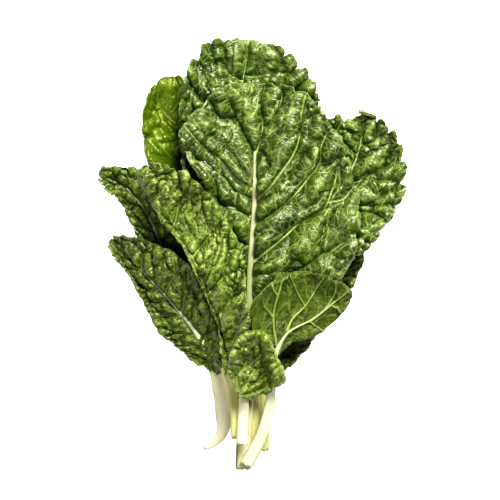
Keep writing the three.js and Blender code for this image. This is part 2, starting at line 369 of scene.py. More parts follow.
def refined(coarse, rowSpots, columnSpots, rows, columns):
    # a coarse grid of heights, read between its own rows and columns
    wide = np.array([np.interp(columns, columnSpots, row) for row in coarse])
    return np.array([np.interp(rows, rowSpots, column) for column in wide.T]).T


def listAt(values, share):
    return np.interp(np.clip(share, 0, 1) * (len(values) - 1), np.arange(len(values)), values)


def planAt(leaf, across, share):
    half = np.where(across < 0, listAt(leaf["left"], share), listAt(leaf["right"], share))
    return pointAt(leaf["curve"], share) + rightAt(leaf["curve"], share) * (across * half)[..., None]


# the tables behind the random fields, the same on every run
tables = {"size": 64, "hillOffset": (17.3, 31.7), "cellOffset": (23.1, 11.9), "jitter": (0.08, 0.92)}


def softNoise(x, y, size, seed):
    # smooth hills about one size apart, from -1 to 1
    wrap = tables["size"]
    table = np.random.default_rng(seed).uniform(-1, 1, (wrap, wrap))
    u, v = x / size + tables["hillOffset"][0], y / size + tables["hillOffset"][1]
    i, j = np.floor(u).astype(int), np.floor(v).astype(int)
    s, t = smoothStep(0, 1, u - i), smoothStep(0, 1, v - j)
    low = table[i % wrap, j % wrap] * (1 - s) + table[(i + 1) % wrap, j % wrap] * s
    high = table[i % wrap, (j + 1) % wrap] * (1 - s) + table[(i + 1) % wrap, (j + 1) % wrap] * s
    return low * (1 - t) + high * t


def cellField(x, y, size, seed):
    # distance to the nearest edge between random cells, and a random level for each cell
    wrap = tables["size"]
    rng = np.random.default_rng(seed)
    jitter = rng.uniform(*tables["jitter"], (wrap, wrap, 2))
    levels = rng.uniform(0, 1, (wrap, wrap))
    u, v = x / size + tables["cellOffset"][0], y / size + tables["cellOffset"][1]
    i, j = np.floor(u).astype(int), np.floor(v).astype(int)
    around = [(p, q) for p in range(-2, 3) for q in range(-2, 3)]

    def centreOf(p, q):
        return np.stack([i + p, j + q], -1) + jitter[(i + p) % wrap, (j + q) % wrap]

    best = np.full(u.shape, np.inf)
    home = np.zeros(u.shape + (2,))
    level = np.zeros(u.shape)
    for p, q in around:
        centre = centreOf(p, q)
        gap = np.hypot(centre[..., 0] - u, centre[..., 1] - v)
        nearer = gap < best
        best = np.where(nearer, gap, best)
        home = np.where(nearer[..., None], centre, home)
        level = np.where(nearer, levels[(i + p) % wrap, (j + q) % wrap], level)
    edge = np.full(u.shape, np.inf)
    here = np.stack([u, v], -1)
    for p, q in around:
        centre = centreOf(p, q)
        away = centre - home
        apart = np.linalg.norm(away, axis=-1)
        toEdge = (((centre + home) / 2 - here) * away).sum(-1) / np.maximum(apart, 1e-6)
        edge = np.where(apart > 1e-6, np.minimum(edge, toEdge), edge)
    return edge * size, level


def vertexPlaces(mesh):
    flat = np.empty(len(mesh.vertices) * 3)
    mesh.vertices.foreach_get("co", flat)
    return flat.reshape(-1, 3)


def makeSheet(name, leaf):
    # the flat blade: a grid of squares drawn in to a disc, then laid along the midrib
    columns, rows = leaf["grid"]
    bm = bmesh.new()
    bmesh.ops.create_grid(bm, x_segments=columns, y_segments=rows, size=1)
    leaf["mesh"] = meshFrom(bm, f"{name}Sheet")
    a, b, _ = vertexPlaces(leaf["mesh"]).T
    column = np.round((a + 1) / 2 * columns).astype(int)
    row = np.round((b + 1) / 2 * rows).astype(int)
    leaf["order"] = np.argsort(row * (columns + 1) + column)
    shape = (rows + 1, columns + 1)
    a, b = a[leaf["order"]].reshape(shape), b[leaf["order"]].reshape(shape)
    leaf["curve"] = planCurve(leaf["midrib"])
    leaf["square"] = (a, b)
    across, share = discSpot(a, b)
    leaf["outward"] = np.hypot(across, 2 * share - 1)
    leaf["turn"] = np.arctan2(across, 1 - 2 * share)  # 0 at the base, growing round to the tip
    pull = rimPull(leaf)
    leaf["across"] = across * pull
    leaf["share"] = 0.5 + (share - 0.5) * pull
    leaf["plan"] = planAt(leaf, leaf["across"], leaf["share"])


def discSpot(a, b):
    return a * np.sqrt(1 - b * b / 2), (b * np.sqrt(1 - a * a / 2) + 1) / 2


# slow swings of the rim (size, share of the radius), and the nicks within each scallop
outline = {"swing": (34, 0.03), "nickRate": 2.7, "nickShare": 0.3, "inward": 5}


def rimPull(leaf):
    # a notched, uneven outline: the disc is pulled in and out towards its rim
    rim = np.pi * (max(leaf["left"]) + max(leaf["right"]) + leaf["curve"]["length"]) / 4
    arc = leaf["turn"] * rim / np.pi
    swingSize, swing = outline["swing"]
    broad = softNoise(arc, arc * 0, swingSize, leaf["seed"])
    lobeLength, _, lobeDepth = leaf["lobes"]
    warp = 0.5 * lobeLength * softNoise(arc, arc * 0, lobeLength * 1.1, leaf["seed"] + 100)
    leaf["phase"] = np.pi * (arc + warp) / lobeLength
    scallop = np.sqrt(np.sin(leaf["phase"]) ** 2 + 0.02) - 0.75
    nick = np.sqrt(np.sin(leaf["phase"] * outline["nickRate"] + 1) ** 2 + 0.05) - 0.6
    depth = lobeDepth / rim * 3
    leaf["seam"] = smoothStep(0, 0.1, 1 - np.abs(leaf["turn"]) / np.pi)  # both sides meet at the tip
    pull = (swing * broad + depth * scallop + outline["nickShare"] * depth * nick) * leaf["seam"]
    rimPlan = planAt(leaf, np.sin(leaf["turn"]), 0.5 - np.cos(leaf["turn"]) / 2)
    for spot, reach, width in leaf["points"]:
        gap = np.hypot(rimPlan[..., 0] - spot[0], rimPlan[..., 1] - spot[1])
        pull = pull + reach / rim * 3 * np.exp(-(gap / width) ** 2)
    return 1 + pull * leaf["outward"] ** outline["inward"]


def originShift():
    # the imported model's origin is under the middle of the bunch, so the plan moves with it
    shifts = []
    for name, leaf in leaves.items():
        plan = planAt(leaf, *discSpot(*np.meshgrid(np.linspace(-1, 1, 13), np.linspace(-1, 1, 21))))
        low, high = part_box(f"{name}_blade")
        shifts.append([(low[k] + high[k]) / 2 / mm - (plan[..., k].min() + plan[..., k].max()) / 2
                       for k in (0, 1)])
    return np.mean(shifts, axis=0)


for leafName, leaf in leaves.items():
    makeSheet(leafName, leaf)
planShift = originShift()
print("plan shift in mm:", planShift.round(2))

# the pile is a map of the top of everything laid so far
pileCell, pileReachX, pileReachY = 1.5, 190, 250
pile = np.zeros((int(2 * pileReachY / pileCell), int(2 * pileReachX / pileCell)))


def pileSpot(plan):
    column = ((plan[..., 0] + pileReachX) / pileCell).astype(int)
    row = ((plan[..., 1] + pileReachY) / pileCell).astype(int)
    return np.clip(row, 0, pile.shape[0] - 1), np.clip(column, 0, pile.shape[1] - 1)


def raisePile(field, plan, heights):
    row, column = pileSpot(plan)
    np.maximum.at(field, (row.ravel(), column.ravel()), heights.ravel())


def shifted(field, down, across):
    padded = np.pad(field, 1, mode="edge")
    return padded[1 + down:1 + down + field.shape[0], 1 + across:1 + across + field.shape[1]]


def widened(field):
    steps = [(p, q) for p in (-1, 0, 1) for q in (-1, 0, 1)]
    return np.max([shifted(field, p, q) for p, q in steps], axis=0)


def blurred(field, rounds):
    for _ in range(rounds):
        field = (field + shifted(field, 1, 0) + shifted(field, -1, 0) + shifted(field, 0, 1)
                 + shifted(field, 0, -1)) / 5
    return field


def coverMaps():
    # for each leaf, how deep each place lies under the leaves laid after it, from 0 to 1
    above = np.zeros_like(pile)
    maps = {}
    for name in reversed(leaves):
        maps[name] = blurred(above, int(sheet["coverMargin"] / pileCell) * 4) ** 2
        own = np.zeros_like(pile)
        raisePile(own, leaves[name]["plan"] + planShift, np.ones_like(leaves[name]["share"]))
        above = np.maximum(above, own)
    return maps


covers = coverMaps()


def cadMiddle(node, plan, start):
    # the middle of a CAD solid at each place in plan, or the height nearest to start where it is missed
    bm = bmesh.new()
    bm.from_mesh(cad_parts[node].data)
    tree = BVHTree.FromBMesh(bm)
    bm.free()
    heights = np.zeros(plan.shape[:-1])
    for spot in np.ndindex(heights.shape):
        place = plan[spot] * mm
        top = tree.ray_cast(Vector((*place, 1)), Vector((0, 0, -1)))[0]
        bottom = tree.ray_cast(Vector((*place, -1)), Vector((0, 0, 1)))[0]
        if top is None or bottom is None:
            top = bottom = tree.find_nearest(Vector((*place, start * mm)))[0]
        heights[spot] = (top.z + bottom.z) / 2 / mm
    return heights


# how many places of the CAD blade are read, just inside its rim
cadGrid = {"across": 25, "along": 41, "inside": 0.985, "start": 20, "blur": 40}


def cadHeights(name, leaf):
    # the CAD blade's heights at a coarse grid of its own places, smoothed onto the fine one
    a, b = np.linspace(-1, 1, cadGrid["across"]), np.linspace(-1, 1, cadGrid["along"])
    gridA, gridB = np.meshgrid(a * cadGrid["inside"], b * cadGrid["inside"])
    plan = planAt(leaf, *discSpot(gridA, gridB)) + planShift
    heights = cadMiddle(f"{name}_blade", plan, cadGrid["start"])
    fineA, fineB = leaf["square"][0][0], leaf["square"][1][:, 0]
    return blurred(refined(heights, b, a, fineB, fineA), cadGrid["blur"])


# side veins drawn by rule, in shares of the blade: where they start, how they rise, where they fork
veinRule = {"first": 0.05, "last": 0.84, "rightLater": 0.03, "uneven": 0.02, "rise": (0.10, 0.17),
            "reach": 0.95, "forks": ((0.35, -0.08), (0.6, 0.07)), "forkReach": 0.93}


def sideVeins(leaf):
    # side veins from the midrib to the margin, each with two forks
    rng = np.random.default_rng(leaf["seed"])
    lines = []
    t = np.linspace(0, 1, 10)

    def trace(side, outs, shares):
        shares = np.clip(shares, 0.01, 0.99)
        chord = np.sqrt(1 - (2 * shares - 1) ** 2)
        return planAt(leaf, side * outs * chord, shares)

    for side in (-1, 1):
        starts = np.linspace(veinRule["first"], veinRule["last"], leaf["veins"])
        starts = starts + (veinRule["rightLater"] if side > 0 else 0)
        for start in starts + rng.uniform(-veinRule["uneven"], veinRule["uneven"], len(starts)):
            rise = rng.uniform(*veinRule["rise"])
            shares = start + rise * t ** 1.3 + 0.012 * np.sin(t * 7 + rng.uniform(0, 6))
            outs = veinRule["reach"] * t
            lines.append(np.column_stack([trace(side, outs, shares), 1.1 - 0.7 * t]))
            for fork, lean in veinRule["forks"]:
                k = int(fork * (len(t) - 1))
                s = np.linspace(0, 1, 6)
                forkOuts = outs[k] + (veinRule["forkReach"] - outs[k]) * s
                forkShares = shares[k] + (shares[-1] - shares[k] + lean) * s
                lines.append(np.column_stack([trace(side, forkOuts, forkShares), 0.7 - 0.4 * s]))
    return lines


def veinLines(leaf):
    if isinstance(leaf["veins"], int):
        lines = sideVeins(leaf)
    else:
        lines = []
        for points in leaf["veins"]:
            curve = planCurve(points, 12)
            share = np.linspace(0, 1, 12)
            thick = 1.6 if len(points) > 3 else 1.1
            lines.append(np.column_stack([pointAt(curve, share), thick - 0.55 * thick * share]))
    if leaf["rib"][1] > 1:
        return lines
    share = np.linspace(*leaf["ribSpan"], 30)
    ribWidth = listAt(leaf["widths"], 0.4 + 0.6 * share) * leaf["rib"][0] / 2 + 0.25
    lines.append(np.column_stack([pointAt(leaf["curve"], share), ribWidth]))
    return lines


far = 1e3
veinApart = 37  # so that pleats beside one vein don't repeat those beside the last


def distanceToVeins(plan, lines):
    # to the nearest vein in mm, the same in that vein's own half widths, and the place along that vein
    nearest = np.full(plan.shape[:2], far)
    inWidths = np.full(plan.shape[:2], far)
    alongVein = np.zeros(plan.shape[:2])
    passed = 0
    for line in lines:
        for start, end in zip(line[:-1], line[1:]):
            run = end[:2] - start[:2]
            t = np.clip(((plan - start[:2]) @ run) / max(run @ run, 1e-9), 0, 1)
            gap = np.hypot(plan[..., 0] - start[0] - t * run[0], plan[..., 1] - start[1] - t * run[1])
            alongVein = np.where(gap < nearest, passed + t * np.hypot(*run), alongVein)
            half = start[2] + t * (end[2] - start[2])
            nearest = np.minimum(nearest, np.maximum(gap - half * 0.8, 0))
            inWidths = np.minimum(inWidths, gap / half)
            passed += np.hypot(*run)
        passed += veinApart
    return nearest, inWidths, alongVein


def liftOver(lack, block=6):
    # raises a sheet clear of what is under it, with the raise spread smoothly round each contact
    rows, columns = lack.shape
    rowSpots = np.unique(np.append(np.arange(0, rows, block), rows - 1))
    columnSpots = np.unique(np.append(np.arange(0, columns, block), columns - 1))
    coarse = np.array([[lack[max(r - block, 0):r + block + 1, max(c - block, 0):c + block + 1].max()
                        for c in columnSpots] for r in rowSpots])
    lift = coarse.copy()
    for _ in range(6):
        mean = (shifted(lift, 1, 0) + shifted(lift, -1, 0) + shifted(lift, 0, 1) + shifted(lift, 0, -1)) / 4
        lift = np.maximum(coarse, mean)
    fine = refined(lift, rowSpots, columnSpots, np.arange(rows), np.arange(columns))
    return np.maximum(blurred(fine, 8), lack * 0.9)


def held(height, place, steepest):
    # a leaf is too stiff to drop straight down, so no part falls faster than the steepest slope
    for axis in (0, 1, 0, 1):
        rows, spots = np.swapaxes(height, 0, axis), np.swapaxes(place, 0, axis)
        drop = np.linalg.norm(np.diff(spots, axis=0), axis=-1) * steepest
        for k in range(1, len(rows)):
            rows[k] = np.maximum(rows[k], rows[k - 1] - drop[k - 1])
        for k in range(len(rows) - 2, -1, -1):
            rows[k] = np.maximum(rows[k], rows[k + 1] - drop[k])
    return height


def pushed(spots, amount):
    # moves every point along its own upward normal, so that swellings lean over the creases
    normal = unit(np.cross(np.gradient(spots, axis=1), np.gradient(spots, axis=0))) + np.array([0, 0, 0.15])
    normal[..., 2] = np.maximum(normal[..., 2], 0.1)
    return spots + unit(normal) * amount[..., None]


def billow(x, y, size, seed):
    # round swellings with sharp valleys between them, from 0 to 1
    hills = softNoise(x, y, size * 0.8, seed) + 0.45 * softNoise(x, y, size * 0.37, seed + 40)
    return 1 - np.exp(-np.abs(hills) * 2.2)


def lineReach(plan, points, width):
    line = np.column_stack([planCurve(points, 10)["line"], np.ones(10 * (len(points) - 1) + 1)])
    return np.exp(-(distanceToVeins(plan, [line])[0] / width) ** 2)


def risen(gap, width):
    # 0 on an edge or a vein, and 1 well away from it
    return 1 - np.exp(-gap / width)


# the puckers' places are squeezed across, swept up along the side veins, and bent (seed, size, reach)
bending = {"squeeze": 0.72, "sweep": 0.75, "bends": ((0, 21, 6), (20, 6, 1.8))}
fieldLimit = 20  # how far from a line the materials can tell


def bentPlaces(x, y, seed):
    bentX, bentY = x * bending["squeeze"], y - bending["sweep"] * np.abs(x)
    for step, size, reach in bending["bends"]:
        bentX = bentX + reach * softNoise(x, y, size, seed + step + 1)
        bentY = bentY + reach * softNoise(x, y, size, seed + step + 2)
    return bentX, bentY


def reliefOf(leaf, x, y):
    # how far each place stands up: the broad shape, the puckers on it, and the finest ones
    seed = leaf["seed"]
    nearest, inWidths, alongVein = distanceToVeins(leaf["plan"], veinLines(leaf))
    bentX, bentY = bentPlaces(x, y, seed)
    foldSize, foldHeight = leaf["folds"]
    cellSize, cellHeight = leaf["cells"]
    wrinkleSize, wrinkleHeight = leaf["wrinkles"]
    pleatSize, pleatHeight = leaf["pleats"]
    cellEdge, cellLevel = cellField(bentX, bentY, cellSize, seed + 3)
    wrinkleEdge, wrinkleLevel = cellField(bentX, bentY * 0.7, wrinkleSize, seed + 4)
    panels = risen(nearest, leaf["panel"])
    folds = billow(bentX, bentY, foldSize, seed + 9)
    puckers = risen(cellEdge, cellSize * 0.36) * (0.2 + 1.5 * cellLevel)
    wrinkles = risen(wrinkleEdge, wrinkleSize * 0.25) * (0.2 + wrinkleLevel)
    wrinkles = wrinkles * (0.8 + 0.5 * softNoise(x, y, 25, seed + 10))
    pleats = billow(alongVein, nearest * 0.3, pleatSize, seed + 11)  # they run away from the veins
    pleats = pleats * risen(nearest, 1.5) * np.exp(-nearest / 12)
    crumple = np.exp(-np.abs(softNoise(bentX, bentY, cellSize * 0.5, seed + 12)) * 5)  # sharp ridges
    crumple = crumple + 0.6 * np.exp(-np.abs(softNoise(bentX, bentY, cellSize * 0.27, seed + 13)) * 5)

    broad = leaf["puff"] * panels * (0.7 + 0.4 * softNoise(x, y, 30, seed + 8))
    broad = broad + leaf["roll"] * softNoise(x, y, 46, seed + 5) * panels
    for points, rise, width in leaf["ridges"]:
        broad = broad + rise * lineReach(leaf["plan"], points, width)
    swell = foldHeight * folds * panels ** 0.7 + cellHeight * puckers * panels ** 0.5
    swell = swell + pleatHeight * pleats
    fine = wrinkleHeight * wrinkles * (0.35 + 0.65 * panels)
    fine = fine + leaf["crumple"] * cellHeight * crumple * panels
    if leaf["underside"]:
        broad = broad.max() * 0.6 - broad
        swell = swell.max() * 0.6 - swell + np.exp(-inWidths ** 2)
    leaf["fields"] = {
        "veinReach": np.minimum(inWidths, fieldLimit), "netReach": np.minimum(cellEdge, fieldLimit),
        "foldReach": np.minimum(wrinkleEdge, fieldLimit), "rim": leaf["outward"],
        # puff, how far each place swells, is also where the leaf materials paint shade in the valleys
        "puff": (0.5 * panels + 0.7 * folds + 0.5 * puckers) / 1.5,
    }
    return broad, swell, fine


# the scallops' lean as a share of their length, and the droop of the very edge in mm
margin = {"lean": 0.32, "droop": 1.5, "nickShare": 0.25, "turnStep": 0.02}


def marginOf(leaf, calm):
    # the margin swells into scallops that lean over the notches between them
    outward, turn = leaf["outward"], leaf["turn"]
    lobeLength, lobeHeight, _ = leaf["lobes"]
    awayFromBase = smoothStep(0.1, 0.4, np.abs(turn) / np.pi)
    uneven = 0.75 + 0.45 * softNoise(leaf["phase"], outward * 0, 7, leaf["seed"] + 7)
    reachIn = smoothStep(0.5, 1.0, outward) * awayFromBase * uneven * leaf["seam"]
    scallop = (np.sin(leaf["phase"]) ** 2 + 0.01) ** 0.4 - 0.3
    nick = np.sqrt(np.sin(leaf["phase"] * outline["nickRate"] + 1) ** 2 + 0.05) - 0.5
    droop = margin["droop"] * smoothStep(0.93, 1.02, outward) * awayFromBase
    rise = lobeHeight * reachIn * (scallop + margin["nickShare"] * nick) - droop

    ends = []
    for angle in (turn + margin["turnStep"], turn - margin["turnStep"]):
        ends.append(planAt(leaf, outward * np.sin(angle), 0.5 - outward * np.cos(angle) / 2))
    along = unit(ends[0] - ends[1])
    lean = -np.sin(2 * leaf["phase"]) * lobeLength / np.pi * margin["lean"]
    return rise, along * (lean * calm * reachIn)[..., None]


def clearOfPile(height, place):
    ground = widened(pile)[pileSpot(place)] + sheet["gap"] + sheet["thickness"]
    return height + liftOver(np.maximum(ground - height, 0))


def shapeBlade(name, leaf):
    # the blade's surface, laid on the pile
    left, right = listAt(leaf["left"], leaf["share"]), listAt(leaf["right"], leaf["share"])
    half = np.where(leaf["across"] < 0, left, right)
    x, y = leaf["across"] * half, leaf["share"] * leaf["curve"]["length"]
    leaf["uv"] = np.dstack([x, y]) * mm
    broad, swell, fine = reliefOf(leaf, x, y)
    under = covers[name][pileSpot(leaf["plan"] + planShift)]
    calm = smoothStep(-2, 12, half) * (1 - sheet["coverCalm"] * under)  # flatter where narrow or covered
    rise, shift = marginOf(leaf, calm)
    plan = leaf["plan"] + shift
    base = clearOfPile(cadHeights(name, leaf), plan + planShift)
    base = blurred(held(base, plan, leaf["steepest"]), 12)
    spots = np.dstack([plan + planShift, base + calm * (broad + rise)])
    spots = pushed(spots, swell * calm * (1 - 0.6 * smoothStep(0.93, 1.0, leaf["outward"])))
    spots = pushed(spots, fine * (0.4 + 0.6 * calm))

    leaf["pileBefore"] = pile.copy()
    place = spots[..., :2]
    height = clearOfPile(spots[..., 2], place)
    raisePile(pile, place, height)
    leaf["surface"] = np.zeros_like(pile)
    raisePile(leaf["surface"], place, height)
    return np.dstack([place, height]) * mm


def addFields(mesh, fields, uv):
    # values for the materials to read, one for each vertex
    for key, values in fields.items():
        mesh.attributes.new(key, "FLOAT", "POINT").data.foreach_set("value", values.astype(np.float32))
    loops = np.empty(len(mesh.loops), int)
    mesh.loops.foreach_get("vertex_index", loops)
    mesh.uv_layers.new(name="surface").uv.foreach_set("vector", uv[loops].ravel().astype(np.float32))
    mesh.polygons.foreach_set("use_smooth", [True] * len(mesh.polygons))
    mesh.update()


def addPiece(name, mesh, look):
    mesh.materials.append(looks[look])
    return addObject(name, mesh)


def buildBlade(name, leaf):
    def inMeshOrder(values):
        flat = np.empty((len(leaf["order"]), *values.shape[2:]))
        flat[leaf["order"]] = values.reshape(flat.shape)
        return flat

    spots = shapeBlade(name, leaf)
    leaf["mesh"].vertices.foreach_set("co", inMeshOrder(spots).ravel())
    fields = {key: inMeshOrder(values) for key, values in leaf["fields"].items()}
    addFields(leaf["mesh"], fields, inMeshOrder(leaf["uv"]))
    piece = addPiece(f"{name}Blade", leaf["mesh"], leaf["look"])
    solidify = piece.modifiers.new("thickness", "SOLIDIFY")
    solidify.thickness = sheet["thickness"] * mm
    solidify.offset = -1
    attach(piece, "root")
    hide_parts(f"{name}_blade")


# sizes across the stalk are shares of its half width; ragged is in mm
stalkShape = {
    "rings": 120, "sides": 36, "flatness": 0.5, "ribs": 9, "ribDepth": 0.035,
    "groove": 0.12, "grooveWidth": 0.45, "cutRadii": (0, 0.4, 0.75, 0.94),
    "ragged": 1.7, "raggedSize": 1.7, "raggedRings": 3, "start": 30,
}


def smoothedLine(values, rounds):
    for _ in range(rounds):
        padded = np.pad(values, 1, mode="edge")
        values = (padded[:-2] + padded[1:-1] + padded[2:]) / 3
    return values


def stalkLine(leaf):
    # the stalk in plan, ring by ring, narrowing to a rib where the blade begins
    curve = planCurve([*leaf["petiole"], *leaf["midrib"][:-1]])
    share = np.linspace(0.002, 1, stalkShape["rings"])
    baseShare = planCurve([*leaf["petiole"], leaf["midrib"][0]])["length"] / curve["length"]
    narrowing = (1 - leaf["rib"][0]) * smoothStep(baseShare, baseShare + 0.15, share)
    half = listAt(leaf["widths"], share) / 2 * (1 - narrowing)
    return {
        "share": share, "baseShare": baseShare, "length": curve["length"], "half": half,
        "thick": half * stalkShape["flatness"], "centre": pointAt(curve, share) + planShift,
        "right": rightAt(curve, share),
    }


def stalkHeights(name, leaf, line):
    # along the blade the midrib lies in the blade's own surface, and below it the petiole clears the pile
    share, baseShare, centre, thick = line["share"], line["baseShare"], line["centre"], line["thick"]
    ribDepth = leaf["rib"][1]
    height = cadMiddle(f"{name}_stalk", centre, stalkShape["start"])
    surface = leaf["surface"][pileSpot(centre)]
    onBlade = (share > baseShare + 0.02) & (surface > 0)
    cover = leaf["neckCover"] * (1 - smoothStep(baseShare + 0.08, baseShare + 0.2, share))
    lifts = surface + thick * (1 - 2 * (ribDepth + cover)) - height - 3 * (ribDepth > 1)
    first = lifts[onBlade][0] if onBlade.any() else 0
    lift = np.where(onBlade, lifts, first * smoothStep(0, baseShare, share))
    lift = np.where(share > baseShare + 0.02, smoothedLine(lift, 8), lift)
    height = height + lift
    floor = np.zeros(len(share))
    for side in np.linspace(-1, 1, 7):
        spots = centre + line["right"] * (side * line["half"])[:, None]
        floor = np.maximum(floor, widened(leaf["pileBefore"])[pileSpot(spots)])
    lack = np.where(share < baseShare, np.maximum(floor + thick + sheet["gap"] - height, 0), 0)
    spread = lack.copy()
    for _ in range(200):
        padded = np.pad(spread, 1, mode="edge")
        spread = np.maximum(lack, (padded[:-2] + padded[2:]) / 2 * (share < baseShare + 0.05))
    return np.maximum(smoothedLine(height + spread, 6), thick * 0.9)


def spunMesh(name):
    # a profile spun round its axis: cut face, skin, tip
    rings = stalkShape["rings"]
    bm = bmesh.new()
    cut = [bm.verts.new((r, 0, 0)) for r in stalkShape["cutRadii"]]
    skin = [bm.verts.new((1, 0, k)) for k in range(1, rings)]
    profile = [*cut, *skin, bm.verts.new((0, 0, rings))]
    edges = [bm.edges.new(pair) for pair in zip(profile[:-1], profile[1:])]
    bmesh.ops.spin(bm, geom=profile + edges, cent=(0, 0, 0), axis=(0, 0, 1), angle=math.tau,
                   steps=stalkShape["sides"], use_merge=True)
    bmesh.ops.remove_doubles(bm, verts=bm.verts, dist=1e-5)
    bmesh.ops.recalc_face_normals(bm, faces=bm.faces)
    return meshFrom(bm, f"{name}Stalk")


def buildStalk(name, leaf):
    # the spun mesh is flattened, ribbed and laid along the leaf
    line = stalkLine(leaf)
    centre, right, half, thick = line["centre"], line["right"], line["half"], line["thick"]
    height = stalkHeights(name, leaf, line)
    mesh = spunMesh(name)
    spunX, spunY, spunZ = vertexPlaces(mesh).T
    ring = np.clip(np.round(spunZ).astype(int), 0, stalkShape["rings"] - 1)
    radius = np.hypot(spunX, spunY)
    angle = np.arctan2(spunY, spunX)
    rib = 1 + stalkShape["ribDepth"] * np.cos(angle * stalkShape["ribs"] * 2) * (radius > 0.9)
    side = np.cos(angle) * radius * rib
    rise = np.sin(angle) * radius * rib
    groove = stalkShape["groove"] * np.exp(-(side / stalkShape["grooveWidth"]) ** 2) * (rise > 0) * radius
    upright = thick[ring] * (rise - groove)
    ragged = softNoise(side * 6, rise * 6, stalkShape["raggedSize"], leaf["seed"] + 8) * stalkShape["ragged"]
    ragged = ragged * (ring < stalkShape["raggedRings"])
    slope = np.gradient(height, line["share"] * line["length"])
    ahead = np.stack([-right[:, 1], right[:, 0]], -1)
    place = centre[ring] + right[ring] * (side * half[ring])[:, None]
    place = place + ahead[ring] * (ragged - upright * slope[ring] * 0.8)[:, None]
    z = np.maximum(height[ring] + upright, 0.15)
    mesh.vertices.foreach_set("co", (np.column_stack([place, z]) * mm).ravel())
    fields = {
        "fromCut": line["share"][ring] / line["baseShare"], "side": side,
        "cutFace": (ring < 1) * (radius < 0.98),
    }
    uv = np.column_stack([side * half[ring] * mm, line["share"][ring] * line["length"] * mm])
    addFields(mesh, fields, uv)
    for across in np.linspace(-1, 1, 9):
        top = height + thick * np.sqrt(1 - across ** 2)
        raisePile(pile, centre + right * (across * half)[:, None], top)
    piece = addPiece(f"{name}Stalk", mesh, leaf.get("stalkLook", leaf["stalk"]))
    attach(piece, "root")
    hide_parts(f"{name}_stalk")


def addNode(tree, kind, inputs=None, **settings):
    node = tree.nodes.new(kind)
    for key, value in settings.items():
        setattr(node, key, value)
    setInputs(tree, node, inputs or {})
    return node


def fieldOf(tree, name):
    return addNode(tree, "ShaderNodeAttribute", attribute_name=name).outputs["Fac"]


def ranged(tree, value, fromMin, fromMax, toMin, toMax):
    node = addNode(tree, "ShaderNodeMapRange", {"Value": value, "From Min": fromMin, "From Max": fromMax,
                                                "To Min": toMin, "To Max": toMax})
    return node.outputs["Result"]


def blended(tree, share, first, second):
    return addNode(tree, "ShaderNodeMix", {0: share, 6: first, 7: second}, data_type="RGBA").outputs[2]


def combined(tree, operation, first, second=0):
    return addNode(tree, "ShaderNodeMath", {0: first, 1: second}, operation=operation).outputs[0]


def moved(tree, operation, inputs):
    return addNode(tree, "ShaderNodeVectorMath", inputs, operation=operation).outputs[0]


def noiseOf(tree, place, scale, detail):
    return addNode(tree, "ShaderNodeTexNoise", {"Vector": place, "Scale": scale, "Detail": detail}).outputs


def edgesOf(tree, place, scale):
    node = addNode(tree, "ShaderNodeTexVoronoi", {"Vector": place, "Scale": scale},
                   feature="DISTANCE_TO_EDGE")
    return node.outputs["Distance"]


# gloss is the roughness range, sheen the strength of the highlights and how white they are; the first colour
# of each is a painted shade, the dark green that the valleys between swellings fall to
leafLooks = {
    "glossyLeaf": {
        "valleyShade": (0.006, 0.016, 0.0003, 1), "fresh": (0.040, 0.069, 0.001, 1), "vein": (0.26, 0.32, 0.08, 1),
        "net": 0.33, "veins": 0.95, "gloss": (0.30, 0.44), "sheen": (0.44, 0.75), "bump": 0.45,
    },
    "greenLeaf": {
        "valleyShade": (0.006, 0.016, 0.0003, 1), "fresh": (0.041, 0.072, 0.001, 1), "vein": (0.20, 0.27, 0.06, 1),
        "net": 0.32, "veins": 0.8, "gloss": (0.28, 0.42), "sheen": (0.46, 0.7), "bump": 0.45,
    },
    "darkLeaf": {
        "valleyShade": (0.006, 0.015, 0.0003, 1), "fresh": (0.053, 0.085, 0.001, 1), "vein": (0.16, 0.21, 0.05, 1),
        "net": 0.30, "veins": 0.75, "gloss": (0.30, 0.48), "sheen": (0.5, 0.5), "bump": 0.5,
    },
    "savoyLeaf": {
        "valleyShade": (0.008, 0.019, 0.0003, 1), "fresh": (0.054, 0.088, 0.002, 1), "vein": (0.22, 0.28, 0.06, 1),
        "net": 0.42, "veins": 0.85, "gloss": (0.32, 0.48), "sheen": (0.5, 0.5), "bump": 0.6,
    },
    "underLeaf": {
        "valleyShade": (0.010, 0.022, 0.0004, 1), "fresh": (0.032, 0.052, 0.001, 1), "vein": (0.26, 0.32, 0.07, 1),
        "net": 0.14, "veins": 0.85, "gloss": (0.46, 0.62), "sheen": (0.25, 0.5), "bump": 0.4,
    },
    "paleLeaf": {
        "valleyShade": (0.016, 0.034, 0.0003, 1), "fresh": (0.052, 0.086, 0.001, 1), "vein": (0.17, 0.25, 0.015, 1),
        "net": 0.12, "veins": 0.5, "gloss": (0.28, 0.40), "sheen": (0.35, 0.3), "bump": 0.3,
    },
}


# scales of the patterns, per metre; the threads bend by up to threadBend metres
leafPattern = {"mottle": 55, "grain": 420, "veinlets": 330, "threads": 165, "bends": 60, "threadBend": 0.012,
               "bumpHeight": 0.0007}


def bumpOf(tree, height, strength, distance):
    values = {"Height": height, "Strength": strength, "Distance": distance}
    return addNode(tree, "ShaderNodeBump", values).outputs["Normal"]


def startLook(name):
    material = bpy.data.materials.new(name)
    material.use_nodes = True
    tree = material.node_tree
    surface = addNode(tree, "ShaderNodeUVMap", uv_map="surface").outputs["UV"]
    return material, tree, tree.nodes["Principled BSDF"], surface


